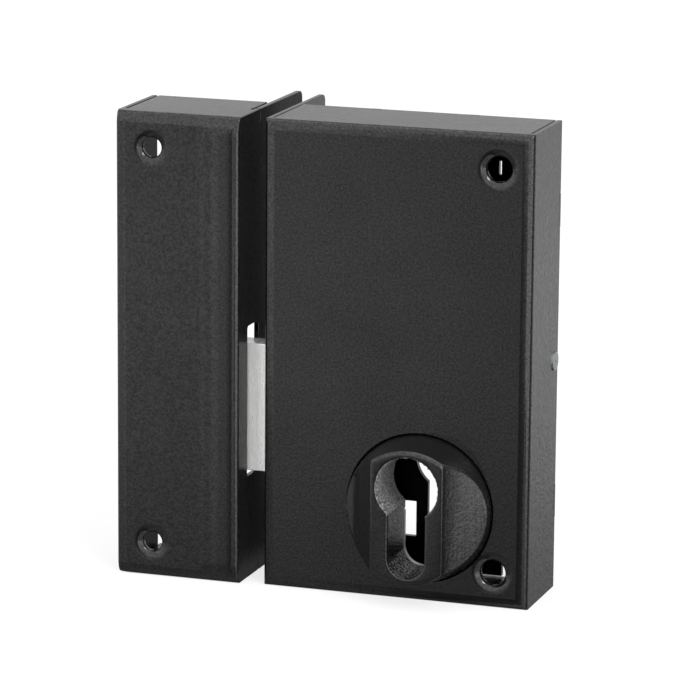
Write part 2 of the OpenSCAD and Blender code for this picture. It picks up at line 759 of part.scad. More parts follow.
// Strike
function ramp_curve(y) = [
    for (i = [0 : ramp_steps])
        let (t = i / ramp_steps)
        [ramp_x0 + ramp_w * t, y + ramp_drop * (1 - cos(180 * t)) / 2]
];

// Plan of the strike's sheet box, its outer or its inner line
module strike_plan(grow) {
    y = strike_front + grow;
    left = strike_left + grow;
    r = grow > 0 ? inner_r : fold_r;
    right = strike_right - grow;
    polygon(concat(
        [[left, y + r], [left + r, y]],
        ramp_curve(y),
        [[right, y + ramp_drop], [right, case_d], [left, case_d]]
    ));
    translate([left + r, y + r]) circle(r);
}

module strike_solid(grow, y1) {
    r = grow > 0 ? inner_r : fold_r;
    intersection() {
        along_z(grow, case_h - grow) {
            strike_plan(grow);
            translate([strike_left + grow, case_d - cut]) square([strike_w - 2 * grow, y1 - case_d + cut]);
        }
        along_x(strike_left, strike_right) mirror([1, -1])
            folded_outline(grow, case_h - grow, strike_front + grow, y1, r);
    }
}

module strike_box() {
    place() color([0.16, 0.16, 0.17]) difference() {
        union() {
            difference() {
                strike_solid(0, case_d);
                strike_solid(sheet, case_d + cut);
            }
            along_x(strike_right - sheet, strike_right) lip_outline(fold_r + cut, strike_lip_end, case_h);
            along_z(fold_r, case_h - fold_r) translate([bead_x, bead_y]) circle(bead_r);
            for (z = screw_zs) dimple_body(strike_screw_x, z, strike_front, strike_dimple_r);
        }
        for (z = screw_zs) dimple_cut(strike_screw_x, z, strike_front, strike_dimple_r, strike_screw_r);
        along_x(strike_right - sheet - bead_r - cut, strike_right + cut) rounded_window(window_y0,
            window_y0 + window_w, window_z - window_h / 2, window_z + window_h / 2, window_corner);
        for (z = lip_hole_zs) strike_lip_hole(z);
        for (z = [-cut, case_h - sheet - inner_r]) {
            flap_cut(strike_left + sheet, flap_slit, z);
            translate([strike_right - sheet - strike_flap_gap, relief_y - 2, z])
                cube([strike_flap_gap, case_d, sheet + inner_r + cut]);
        }
        for (z = [-cut, case_h - relief_depth])
            translate([strike_right - sheet - cut, relief_y, z])
                cube([sheet + 2 * cut, flap_slit, relief_depth + cut]);
    }
}

// Countersunk hole through the strike's lip, sunk from the side that faces the case
module strike_lip_hole(z) {
    y = lip_hole_y;
    rod_x(y, z, strike_right - sheet - cut, strike_right + cut, lip_hole_r);
    translate([strike_right - lip_sink, y, z]) rotate([0, 90, 0])
        cylinder(h = lip_sink, r1 = lip_hole_r, r2 = lip_hole_r + lip_sink);
}

case_shell();
back_plate();
back_plate_rivet();
guide_plate();
guide_plate_rivets();
cylinder_collar();
clamp_plate();
clamp_posts();
clamp_screws();
collar_screws();
guide_stud();
tumbler_pivot();
stud_clips();
tumbler_spring();
bolt_head();
tail_plate();
tail_rivets();
tumbler_lever();
tumbler_stop_pin();
strike_box();
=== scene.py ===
"""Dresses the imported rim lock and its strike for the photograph's view."""
import math

import bmesh
import bpy
from mathutils import Matrix, Vector
from mathutils import noise as perlin


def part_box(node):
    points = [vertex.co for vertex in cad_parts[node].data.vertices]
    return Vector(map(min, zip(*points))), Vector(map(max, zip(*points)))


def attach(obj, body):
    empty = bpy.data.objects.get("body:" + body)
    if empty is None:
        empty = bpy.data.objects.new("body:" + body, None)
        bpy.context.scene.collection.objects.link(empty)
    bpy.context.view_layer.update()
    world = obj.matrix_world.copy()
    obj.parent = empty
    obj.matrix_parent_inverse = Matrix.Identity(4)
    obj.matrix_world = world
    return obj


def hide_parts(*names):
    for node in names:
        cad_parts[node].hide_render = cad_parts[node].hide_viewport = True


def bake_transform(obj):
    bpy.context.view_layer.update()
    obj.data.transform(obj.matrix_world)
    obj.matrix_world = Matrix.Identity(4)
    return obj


bl_info = {
    "name": "Rim lock with box strike",
    "version": (1, 0, 0),
    "blender": (4, 5, 0),
    "location": "View3D > Sidebar > Rim lock",
    "description": "Builds the visible pieces of a rim lock over its packed frame",
    "category": "Add Mesh",
}

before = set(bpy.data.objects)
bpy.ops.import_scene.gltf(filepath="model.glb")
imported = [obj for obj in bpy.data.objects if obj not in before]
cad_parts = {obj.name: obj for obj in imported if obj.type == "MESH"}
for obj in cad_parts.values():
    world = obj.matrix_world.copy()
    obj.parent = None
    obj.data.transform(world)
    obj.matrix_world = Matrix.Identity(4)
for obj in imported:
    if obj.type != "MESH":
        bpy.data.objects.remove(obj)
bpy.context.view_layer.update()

MM = 0.001
# The lock frame starts at the case's lower left front corner; lengths below are millimetres in it.
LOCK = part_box("case_shell")[0]
CASE_SIZE = (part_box("case_shell")[1] - LOCK) / MM
STRIKE_LOW = (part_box("strike_box")[0] - LOCK) / MM
STRIKE_HIGH = (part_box("strike_box")[1] - LOCK) / MM
PLATE_BACK = (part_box("back_plate")[1].y - LOCK.y) / MM
COLLAR_BACK = (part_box("cylinder_collar")[1].y - LOCK.y) / MM
RIVET_HEAD = 0.35
CASE_RIGHT = (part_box("back_plate_rivet")[1].x - LOCK.x) / MM - RIVET_HEAD

# Details of the sheet pieces
FLAP_START = 3.0
LIP_HOLE_INSET = 20.0
LIP_HOLE_BACK = 9.75
LIP_HOLE_R = 2.25
FIXING_HOLE_DEPTH = 16.5
FIXING_HOLE_DROP = 20.0
FIXING_HOLE_R = 2.75
GUIDE_RIVET_DEPTH = 20.5
GUIDE_RIVET_R = 1.53
PLATE_RIVET_IN = 3.2
PLATE_RIVET_R = 1.63
SIDE_TAB_INSET = 24.5
SIDE_TAB_HALF = 4.8
END_TAB_X = 23.0
END_TAB_HALF = 1.5
BOLT_GAP = 0.3
COLLAR_GAP = 0.35

# The strike's window and its flaps
WINDOW_HALF_D = 4.5
WINDOW_HALF_H = 21.15
WINDOW_UP = 1.55
STRIKE_FLAP_GAP = 0.6
STRIKE_FLAP_DEPTH = 13.0
LIP_SLIT_DEPTH = 15.0
LIP_SLIT_LONG = 3.6

# The pad beside the strike's bead: its risers (distance to the groove, half width, share) and its fall
PAD_RISERS = ((-8.9, 1.7, 0.7), (-5.3, 2.6, 1.0))
PAD_FALL_LONG = 2.2
BEAD_HOLLOW = 0.45

# The collar's places behind the front of the cover
COLLAR_STEP = 3.0
COLLAR_FLANGE = 1.35
BARREL_WALL = 2.25
FLANK_DROP = 0.8


def prop_mm(name, description, default, low=0.0, high=200.0):
    """A length in millimetres."""
    return bpy.props.FloatProperty(
        name=name, description=description, default=default, min=low, max=high, precision=2, unit="NONE"
    )


def prop_angle(name, description, default):
    """An angle, given in degrees."""
    return bpy.props.FloatProperty(
        name=name, description=description, default=math.radians(default), min=0.0, max=math.radians(20),
        subtype="ANGLE",
    )


def prop_colour(name, description, default):
    """A colour."""
    return bpy.props.FloatVectorProperty(
        name=name, description=description, default=default, size=3, min=0.0, max=1.0, subtype="COLOR"
    )


class RimLockSizes(bpy.types.PropertyGroup):
    """Sizes of the formed pieces, in millimetres."""

    case_w: prop_mm("Case width", "Width of the case", CASE_RIGHT)
    case_h: prop_mm("Case height", "Height of the case and the strike", CASE_SIZE.z)
    case_d: prop_mm("Case depth", "Depth of the case to the door", PLATE_BACK)
    lip_end: prop_mm("Lip end", "Rear edge of the case's lip", CASE_SIZE.y)
    sheet: prop_mm("Sheet", "Thickness of the folded sheet", 1.5, 1.0, 3.0)
    fold_r: prop_mm("Fold radius", "Outer radius of the folds", 1.5, 1.2, 3.0)
    fold_lead: prop_mm("Fold lead-in", "Width of the soft lead-in beside a fold", 2.0, 0.5, 3.0)
    fold_kink: prop_angle("Fold kink", "Turn where the lead-in starts", 6.5)
    fold_tilt: prop_angle("Fold tilt", "How far the lead-in has turned where the fold starts", 15.0)
    lip_corner: prop_mm("Lip corner", "Radius of the lips' rear corners", 2.0, 1.0, 6.0)
    slit: prop_mm("Slit", "Width of the slits beside the flaps", 0.5, 0.3, 1.5)
    seam: prop_mm("Seam", "Width of the seams beside the flaps' outer ends", 0.3, 0.1, 0.8)
    edge_round: prop_mm("Edge rounding", "Rounding of cut sheet edges under the coat", 0.22, 0.05, 0.4)
    screw_inset: prop_mm("Screw inset", "Distance of the screw holes from the edges", 9.75)
    access_r: prop_mm("Access hole", "Radius of the case's screw holes", 3.5)
    access_dish_r: prop_mm("Access dish", "Outer radius of the dish round an access hole", 6.5)
    strike_inset: prop_mm("Strike inset", "Distance of the strike's screw holes from its left side", 10.5)
    strike_hole_r: prop_mm("Strike hole", "Radius of the strike's screw holes", 2.75)
    strike_dish_r: prop_mm("Strike dish", "Outer radius of the dish round a strike hole", 6.0)
    dimple: prop_mm("Dish depth", "Depth of the pressed dishes", 0.9, 0.3, 1.2)
    backset: prop_mm("Backset", "Distance of the cylinder's axis from the lock face", 45.0)
    axis_z: prop_mm("Axis height", "Height of the cylinder's axis", 34.0)
    profile_r: prop_mm("Profile radius", "Radius of the round part of the cylinder opening", 8.75)
    profile_slot: prop_mm("Profile slot", "Width of the narrow part of the opening", 10.5)
    profile_h: prop_mm("Profile height", "Height of the whole opening", 33.5)
    collar_r: prop_mm("Collar radius", "Radius of the collar at the case front", 20.4)
    bar_end_r: prop_mm("Bar end radius", "Radius of the raised bar's ends", 18.6)
    bar_w: prop_mm("Bar width", "Width of the raised bar", 20.5)
    bar_round: prop_mm("Bar rounding", "Rounding along the ends of the raised bar", 0.8, 0.2, 2.0)
    collar_out: prop_mm("Collar height", "How far the bar stands proud", 12.0)
    rim_out: prop_mm("Rim height", "How far the flanks' rim stands proud", 2.4)
    raw_depth: prop_mm("Raw skin", "Depth of the raw skin in the cylinder opening", 0.3, 0.0, 0.5)
    casting_grain: prop_mm("Casting grain", "Voxel size of the casting's mesh", 0.26, 0.15, 0.6)
    bead_r: prop_mm("Bead radius", "Radius of the bead at the strike's right edge", 1.0)
    pad_w: prop_mm("Pad width", "Width of the soft pad beside the bead's groove", 11.0, 9.0, 14.0)
    pad_rise: prop_angle("Pad rise", "Steepest tilt of the pad's two risers", 4.2)
    pad_fall: prop_angle("Pad fall", "Tilt of the pad where it meets the groove", 6.0)
    bead_out: prop_mm("Bead height", "How far the bead stands out of its groove", 0.35, 0.1, 0.8)
    bead_fade: prop_mm("Bead fade", "Length over which the bead fades out at its ends", 5.5)
    bolt_chamfer: prop_mm("Bolt chamfer", "Rounding of the bolt's edges", 0.4, 0.1, 1.0)


class RimLockLooks(bpy.types.PropertyGroup):
    """Colours and finishes."""

    coat: prop_colour("Powder coat", "Colour of the sheet's powder coat", (0.004, 0.0041, 0.0043))
    cast: prop_colour("Casting", "Colour of the coated casting", (0.0045, 0.0045, 0.0047))
    raw: prop_colour("Raw casting", "Colour of the raw cast skin", (0.42, 0.42, 0.43))
    bolt: prop_colour("Bolt", "Colour of the nickelled bolt", (0.98, 0.975, 0.965))
    zinc: prop_colour("Zinc", "Colour of zinc plated sheet", (0.6, 0.615, 0.635))
    stud: prop_colour("Studs", "Colour of zinc plated studs and rivets", (0.5, 0.51, 0.52))
    screw: prop_colour("Screws", "Colour of the small screws", (0.7, 0.69, 0.66))
    yellow: prop_colour("Passivated", "Colour of the yellow passivated lever", (0.68, 0.57, 0.3))
    spring: prop_colour("Spring", "Colour of the spring wire", (0.33, 0.33, 0.34))
    floor: prop_colour("Floor", "Colour of the floor", (0.9, 0.9, 0.9))


def sizes():
    """The sizes in the scene."""
    return bpy.context.scene.rim_lock_sizes


def looks():
    """The colours in the scene."""
    return bpy.context.scene.rim_lock_looks


# Solids, in millimetres in the lock frame


def at(axis, u, v, a):
    """A point of an outline (u, v) at the place a along an axis."""
    return {"x": (a, u, v), "y": (u, a, v), "z": (u, v, a)}[axis]


def loft(axis, sections):
    """A closed solid through a row of sections, each (place along the axis, outline)."""
    bm = bmesh.new()
    rings = [[bm.verts.new(at(axis, u, v, a)) for u, v in outline] for a, outline in sections]
    bm.faces.new(rings[0])
    bm.faces.new(rings[-1])
    for low, high in zip(rings, rings[1:]):
        for i in range(len(low)):
            j = (i + 1) % len(low)
            bm.faces.new((low[i], low[j], high[j], high[i]))
    bmesh.ops.recalc_face_normals(bm, faces=bm.faces)
    return bm


def prism(axis, outline, a0, a1):
    """A closed solid with this outline, from a0 to a1 along an axis."""
    return loft(axis, [(a0, outline), (a1, outline)])


def box(x0, x1, y0, y1, z0, z1):
    """A closed block."""
    return prism("z", [(x0, y0), (x1, y0), (x1, y1), (x0, y1)], z0, z1)


def lathe(axis, u, v, stations, count=96):
    """A solid of round sections (place, radius) along an axis through (u, v)."""
    angles = [2 * math.pi * i / count for i in range(count)]
    circles = [(a, [(u + r * math.cos(t), v + r * math.sin(t)) for t in angles]) for a, r in stations]
    return loft(axis, circles)


def rod(axis, u, v, a0, a1, r, count=96):
    """A cylinder along an axis."""
    return lathe(axis, u, v, [(a0, r), (a1, r)], count)


def linked(name, bm):
    """A new object in the scene that holds bm."""
    mesh = bpy.data.meshes.new(name)
    bm.to_mesh(mesh)
    bm.free()
    obj = bpy.data.objects.new(name, mesh)
    bpy.context.scene.collection.objects.link(obj)
    return obj


def evaluated(obj):
    """The object's mesh with its modifiers applied, as a bmesh."""
    bpy.context.view_layer.update()
    mesh = bpy.data.meshes.new_from_object(obj.evaluated_get(bpy.context.evaluated_depsgraph_get()))
    bm = bmesh.new()
    bm.from_mesh(mesh)
    bpy.data.meshes.remove(mesh)
    return bm


def discard(*objs):
    """Removes working objects and their meshes."""
    for o in objs:
        mesh = o.data
        bpy.data.objects.remove(o)
        bpy.data.meshes.remove(mesh)


def combined(base, *steps):
    """base with a row of boolean steps, each (operation, solid)."""
    work = linked("work", base)
    tools = []
    for operation, bm in steps:
        tools.append(linked("tool", bm))
        m = work.modifiers.new(operation, "BOOLEAN")
        m.operation, m.solver, m.object = operation, "MANIFOLD", tools[-1]
    bm = evaluated(work)
    discard(work, *tools)
    if not bm.faces:
        raise RuntimeError("a boolean step left nothing")
    return bm


def less(*solids):
    """Boolean steps that cut solids away."""
    return [("DIFFERENCE", s) for s in solids]


def plus(*solids):
    """Boolean steps that join solids on."""
    return [("UNION", s) for s in solids]


def tidied(bm):
    """bm with its flat faces joined; bends that are left inside them are moved off their outlines."""
    bmesh.ops.remove_doubles(bm, verts=bm.verts, dist=1e-4)
    bmesh.ops.dissolve_degenerate(bm, edges=bm.edges, dist=1e-4)
    bmesh.ops.dissolve_limit(bm, angle_limit=math.radians(0.1), verts=bm.verts, edges=bm.edges)
    for v in bm.verts:
        if len(v.link_edges) == 2 and v.link_edges[0].calc_face_angle(1.0) < 0.002:
            ends = [e.other_vert(v).co for e in v.link_edges]
            v.co += 0.1 * ((ends[0] + ends[1]) / 2 - v.co)
    return bm


def unspiked(bm, reach):
    """bm without the short spikes that rounding leaves in the outlines of its large faces."""
    joins = {}
    for f in bm.faces:
        if f.calc_area() < 1.0:
            continue
        for loop in f.loops:
            v = loop.vert
            sides = (loop.link_loop_prev.vert, loop.link_loop_next.vert)
            near = min(sides, key=lambda o: (o.co - v.co).length)
            short = (v.co - near.co).length < reach
            if short and loop.calc_angle() < math.radians(40) and near not in joins:
                joins[v] = near
    joins = {v: near for v, near in joins.items() if near not in joins}
    bmesh.ops.weld_verts(bm, targetmap=joins)
    return bm


def softened(bm, width, least=38.0, segments=2):
    """bm with its sharp edges rounded."""
    bm.normal_update()
    edges = [e for e in bm.edges if e.is_manifold and e.calc_face_angle(0.0) > math.radians(least)]
    bmesh.ops.bevel(
        bm, geom=edges, offset=width, offset_type="OFFSET", segments=segments, profile=0.5, affect="EDGES",
        clamp_overlap=False,
    )
    return unspiked(bm, 2.5 * width)


def in_row_frame(bm):
    """Moves a solid from the lock frame in millimetres to the row frame in metres."""
    bm.transform(Matrix.Translation(LOCK) @ Matrix.Scale(MM, 4))
    return bm


def finished(name, bm, material, body, nodes, smooth_angle=32.0, weighted=True):
    """A shown piece that rides on a body and stands for CAD nodes."""
    obj = linked(name, in_row_frame(bm))
    obj.data.materials.append(material)
    obj.data.shade_smooth()
    obj.data.set_sharp_from_angle(angle=math.radians(smooth_angle))
    if weighted:
        m = obj.modifiers.new("flat_normals", "WEIGHTED_NORMAL")
        m.keep_sharp, m.weight = True, 60
    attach(obj, body)
    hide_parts(*nodes)
    return obj


# Materials


def node_tree(name):
    """A new material, its principled shader, its nodes and its links."""
    mat = bpy.data.materials.new(name)
    mat.use_nodes = True
    return mat, mat.node_tree.nodes["Principled BSDF"], mat.node_tree.nodes, mat.node_tree.links


def noise(nodes, links, scale, detail=3.0, roughness=0.55, stretch=(1.0, 1.0, 1.0)):
    """A noise texture in the object's own coordinates."""
    place = nodes.new("ShaderNodeTexCoord")
    mapping = nodes.new("ShaderNodeMapping")
    mapping.inputs["Scale"].default_value = stretch
    texture = nodes.new("ShaderNodeTexNoise")
    texture.inputs["Scale"].default_value = scale
    texture.inputs["Detail"].default_value = detail
    texture.inputs["Roughness"].default_value = roughness
    links.new(place.outputs["Object"], mapping.inputs["Vector"])
    links.new(mapping.outputs["Vector"], texture.inputs["Vector"])
    return texture.outputs["Fac"]


def spread(nodes, links, value, low, high, start=0.3, end=0.7):
    """A value from low to high as a texture goes from start to end."""
    span = nodes.new("ShaderNodeMapRange")
    for key, number in (("From Min", start), ("From Max", end), ("To Min", low), ("To Max", high)):
        span.inputs[key].default_value = number
    links.new(value, span.inputs["Value"])
    return span.outputs["Result"]


def sideways(nodes, links, front, side):
    """A value that is front on faces that look forward or back, and side on the others."""
    place = nodes.new("ShaderNodeTexCoord")
    parts = nodes.new("ShaderNodeSeparateXYZ")
    size = nodes.new("ShaderNodeMath")
    size.operation = "ABSOLUTE"
    links.new(place.outputs["Normal"], parts.inputs["Vector"])
    links.new(parts.outputs["Y"], size.inputs[0])
    return spread(nodes, links, size.outputs["Value"], side, front, 0.2, 0.8)


def bumped(nodes, links, shader, layers):
    """Adds bump layers (height, strength or its socket, distance in metres) to a shader, one on another."""
    last = None
    for height, strength, distance in layers:
        bump = nodes.new("ShaderNodeBump")
        bump.inputs["Distance"].default_value = distance
        links.new(height, bump.inputs["Height"])
        if isinstance(strength, float):
            bump.inputs["Strength"].default_value = strength
        else:
            links.new(strength, bump.inputs["Strength"])
        if last is not None:
            links.new(last, bump.inputs["Normal"])
        last = bump.outputs["Normal"]
    links.new(last, shader.inputs["Normal"])


def tinted(nodes, links, colour, fac, shade):
    """The colour, darkened towards shade times itself by fac."""
    mix = nodes.new("ShaderNodeMix")
    mix.data_type = "RGBA"
    mix.inputs["A"].default_value = (*colour, 1.0)
    mix.inputs["B"].default_value = (*[c * shade for c in colour], 1.0)
    links.new(fac, mix.inputs["Factor"])
    return mix.outputs["Result"]


def coat_material(name, colour, rough, pebble, pebble_size, waves=0.0, glint=1.0, shine=0.5):
    """Black powder coat with a fine pebble, painted glints as bright specks on its sides, and slow waves on a
    casting.
    """
    mat, shader, nodes, links = node_tree(name)
    fine = noise(nodes, links, 1.0 / pebble_size, 2.0, 0.6)
    coarse = noise(nodes, links, 0.32 / pebble_size, 2.0, 0.5)
    patches = noise(nodes, links, 45.0, 3.0)
    # Painted glints: the base colour goes to six times the coat's colour in fine specks, mostly on faces that
    # don't look forward or back.
    painted_glints = nodes.new("ShaderNodeMix")
    painted_glints.data_type = "RGBA"
    side = nodes.new("ShaderNodeMath")
    side.operation = "MULTIPLY"
    links.new(spread(nodes, links, fine, 0.0, 1.0, 0.42, 0.75), side.inputs[0])
    links.new(sideways(nodes, links, 0.04 * glint, glint), side.inputs[1])
    links.new(side.outputs["Value"], painted_glints.inputs["Factor"])
    ground = tinted(nodes, links, colour, spread(nodes, links, patches, 0.0, 1.0), 0.8)
    links.new(ground, painted_glints.inputs["A"])
    painted_glints.inputs["B"].default_value = (*[6.0 * c for c in colour], 1.0)
    links.new(painted_glints.outputs["Result"], shader.inputs["Base Color"])
    shader.inputs["Specular IOR Level"].default_value = shine
    links.new(spread(nodes, links, fine, 0.6 * shine, 1.4 * shine), shader.inputs["Specular IOR Level"])
    links.new(spread(nodes, links, patches, rough - 0.03, rough + 0.04), shader.inputs["Roughness"])
    strength = sideways(nodes, links, 0.16 * pebble, pebble)
    layers = [(coarse, strength, 0.00008), (fine, strength, 0.0001)]
    if waves:
        layers.insert(0, (noise(nodes, links, 170.0, 2.0), waves, 0.0006))
    bumped(nodes, links, shader, layers)
    return mat


def raw_material(name, colour, rough, grain_size):
    """Raw cast skin with a coarse, glinting grain."""
    mat, shader, nodes, links = node_tree(name)
    grain = noise(nodes, links, 1.0 / grain_size, 3.0, 0.7)
    shader.inputs["Metallic"].default_value = 0.3
    pits = spread(nodes, links, grain, 1.0, 0.0, 0.42, 0.62)
    links.new(tinted(nodes, links, colour, pits, 0.08), shader.inputs["Base Color"])
    links.new(spread(nodes, links, grain, rough - 0.1, rough + 0.1), shader.inputs["Roughness"])
    bumped(nodes, links, shader, [(grain, 0.8, 0.0003)])
    return mat


def metal_material(name, colour, rough, grain, grain_scale, grain_depth, shade=0.82, metallic=1.0):
    """Plated metal with a grain along one axis."""
    mat, shader, nodes, links = node_tree(name)
    lines = noise(nodes, links, grain_scale, 4.0, 0.6, grain)
    patches = noise(nodes, links, 120.0, 3.0)
    shader.inputs["Metallic"].default_value = metallic
    worn = spread(nodes, links, patches, 0.0, 1.0)
    links.new(tinted(nodes, links, colour, worn, shade), shader.inputs["Base Color"])
    links.new(spread(nodes, links, lines, rough - 0.06, rough + 0.08), shader.inputs["Roughness"])
    bumped(nodes, links, shader, [(lines, grain_depth, 0.00003)])
    return mat


MATERIALS = {}

# How a metal's grain is stretched: the small number is the way it runs
DRAWN = (1.0, 1.0, 0.1)
ROLLED = (1.0, 1.0, 0.2)
CROSSWISE = (0.2, 1.0, 1.0)
EVEN = (1.0, 1.0, 1.0)


def material(key):
    """One of the lock's materials, made on first use."""
    c = looks()
    recipes = {
        "coat": lambda: coat_material("powder_coat", c.coat, 0.12, 0.65, 0.0006),
        # Painted shade: a duller copy of the powder coat, with less shine and fewer painted glints, for faces
        # that lie in the shade of a gap.
        "shade_matt": lambda: coat_material("shade_matt_coat", c.coat, 0.3, 0.4, 0.0006, 0.0, 0.2, 0.06),
        "cast": lambda: coat_material("coated_casting", c.cast, 0.14, 1.3, 0.0006, 0.06, 0.0),
        "raw": lambda: raw_material("raw_casting", c.raw, 0.4, 0.00045),
        "bolt": lambda: metal_material("nickelled_bolt", c.bolt, 0.26, DRAWN, 500.0, 0.1, 0.95, 0.45),
        "zinc": lambda: metal_material("zinc_sheet", c.zinc, 0.4, ROLLED, 600.0, 0.2),
        "stud": lambda: metal_material("zinc_turned", c.stud, 0.33, EVEN, 500.0, 0.15),
        "screw": lambda: metal_material("zinc_screw", c.screw, 0.3, EVEN, 500.0, 0.15),
        "yellow": lambda: metal_material("yellow_passivated", c.yellow, 0.36, CROSSWISE, 500.0, 0.2),
        "spring": lambda: metal_material("spring_wire", c.spring, 0.34, EVEN, 700.0, 0.15),
    }
    if key not in MATERIALS:
        MATERIALS[key] = recipes[key]()
    return MATERIALS[key]


# Sheet metal


def fold_curve(s, steps=12):
    """Outer line of a fold, as (distance from the side, depth behind the front), from the side inwards."""
    tilt = s.fold_tilt
    kink, growth = math.tan(s.fold_kink), (math.tan(tilt) - math.tan(s.fold_kink)) / 2
    drop = s.fold_lead * (kink + growth)
    points = []
    for i in range(steps + 1):
        a = math.pi / 2 + (tilt - math.pi / 2) * i / steps
        points.append((s.fold_r * (1 - math.sin(a)), drop + s.fold_r * (1 - math.cos(a))))
    start = points[-1][0]
    for i in range(1, 9):
        t = 1 - i / 8
        points.append((start + s.fold_lead * (1 - t), s.fold_lead * (kink * t + growth * t * t)))
    return points


def folded_line(s, low, high, front, back):
    """Outline with folds at both ends of its front, as (place, depth)."""
    fold = fold_curve(s)
    line = [(low, back)]
    line += [(low + d, front + y) for d, y in fold]
    line += [(high - d, front + y) for d, y in reversed(fold)]
    line += [(high, back)]
    return line


def turned(line):
    """An outline with its two coordinates changed over."""
    return [(v, u) for u, v in reversed(line)]


def lip_outline(y0, y1, h, r, steps=10):
    """Side view of a lip with round rear corners, as (y, z)."""
    turns = [math.pi / 2 * i / steps for i in range(steps + 1)]
    line = [(y0, 0.0)]
    line += [(y1 - r + r * math.sin(t), r - r * math.cos(t)) for t in turns]
    line += [(y1 - r + r * math.cos(t), h - r + r * math.sin(t)) for t in turns]
    return line + [(y0, h)]


def rounded_outline(u0, u1, v0, v1, r, steps=6):
    """Rectangle with round corners."""
    line = []
    corners = ((u1 - r, v0 + r, -90), (u1 - r, v1 - r, 0), (u0 + r, v1 - r, 90), (u0 + r, v0 + r, 180))
    for cu, cv, first in corners:
        for i in range(steps + 1):
            a = math.radians(first + 90 * i / steps)
            line.append((cu + r * math.cos(a), cv + r * math.sin(a)))
    return line


def dished_hole(x, z, front, sheet, depth, r, dish_r, steps=14):
    """The pressed sheet behind a screw hole, and the dish with the hole that is cut from it."""
    ring = lathe("y", x, z, [(front + sheet - 0.05, dish_r - 0.8), (front + sheet + depth, r + 0.7)])
    stations = [(front - 1, dish_r)]
    for i in range(steps + 1):
        t = i / steps
        stations.append((front + depth * t ** 4, dish_r + (r - dish_r) * t))
    stations.append((front + sheet + depth + 1, r))
    return ring, lathe("y", x, z, stations)


def countersunk(y, z, x_face, inward, r):
    """A hole through a lip, sunk from the face at x_face; inward points into the sheet."""
    stations = [(x_face - inward, r + 1.0), (x_face, r + 1.0), (x_face + inward, r), (x_face + 3 * inward, r)]
    return lathe("x", y, z, sorted(stations), 48)


def lip_holes(s, x_face, inward):
    """The two screw holes of a lip."""
    places = (LIP_HOLE_INSET, s.case_h - LIP_HOLE_INSET)
    return [countersunk(s.case_d + LIP_HOLE_BACK, z, x_face, inward, LIP_HOLE_R) for z in places]


def case_solid(s):
    """The folded case."""
    w, h, d, t = s.case_w, s.case_h, s.case_d, s.sheet
    screw_x = w - s.screw_inset
    screw_zs = (s.screw_inset, h - s.screw_inset)
    collar_z = s.axis_z + s.profile_r - s.profile_h / 2
    outer = combined(
        prism("z", folded_line(s, 0, w, 0, d), 0, h),
        ("INTERSECT", prism("x", turned(folded_line(s, 0, h, 0, d)), 0, w)),
    )
    inner = box(t, w - t, t, d + 1, t, h - t)
    rings, holes = zip(*[
        dished_hole(screw_x, z, 0, t, s.dimple, s.access_r, s.access_dish_r) for z in screw_zs
    ])
    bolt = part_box("bolt_head")
    b0, b1 = (bolt[0] - LOCK) / MM, (bolt[1] - LOCK) / MM
    cuts = [
        rod("y", s.backset, collar_z, -1, t + 1, s.collar_r + COLLAR_GAP, 160),
        box(-1, t + 1, b0.y - BOLT_GAP, b1.y + BOLT_GAP, b0.z - BOLT_GAP, b1.z + BOLT_GAP),
        rod("x", FIXING_HOLE_DEPTH, s.axis_z - FIXING_HOLE_DROP, -1, t + 1, FIXING_HOLE_R, 64),
        rod("x", d - PLATE_RIVET_IN, h / 2 - 0.7, w - t - 1, w + 1, PLATE_RIVET_R, 48),
    ]
    rivets = (b0.z - 0.5, b1.z + 1.5)
    cuts += [rod("x", GUIDE_RIVET_DEPTH, z, -1, t + 1, GUIDE_RIVET_R, 48) for z in rivets]
    cuts += lip_holes(s, 0, 1)
    for z0, z1 in ((-1, t + 0.5), (h - t - 0.5, h + 1)):
        cuts += [box(x, x + s.seam, FLAP_START, d + 1, z0, z1) for x in (t, w - t - s.seam)]
    for z in (SIDE_TAB_INSET, h - SIDE_TAB_INSET):
        cuts.append(box(w - t - 1, w + 1, d - t, d + 1, z - SIDE_TAB_HALF, z + SIDE_TAB_HALF))
    for x in (END_TAB_X, s.backset + 6):
        for z0, z1 in ((-1, t + 1), (h - t - 1, h + 1)):
            cuts.append(box(x - END_TAB_HALF, x + END_TAB_HALF, d - t, d + 1, z0, z1))
    lip = prism("x", lip_outline(FLAP_START, s.lip_end, h, s.lip_corner), 0, t)
    return combined(outer, *less(inner), *plus(lip, *rings), *less(*holes, *cuts))


def hump(u, middle, half):
    """A soft hump from 0 to 1 and back."""
    t = (u - middle) / half
    return math.cos(math.pi / 2 * t) ** 2 if abs(t) < 1 else 0.0


def pad_line(s, share, steps=22):
    """The pad left of the groove, as (distance to the groove, depth); two risers, then a fall."""
    points, depth, step = [], 0.0, s.pad_w / steps
    for i in range(steps + 1):
        u = s.pad_w * (i / steps - 1)
        points.append((u, depth))
        rise = sum(part * hump(u, middle, half) for middle, half, part in PAD_RISERS)
        fall = max(0.0, 1 + u / PAD_FALL_LONG)
        depth += step * share * (s.pad_fall * fall - s.pad_rise * rise)
    return points


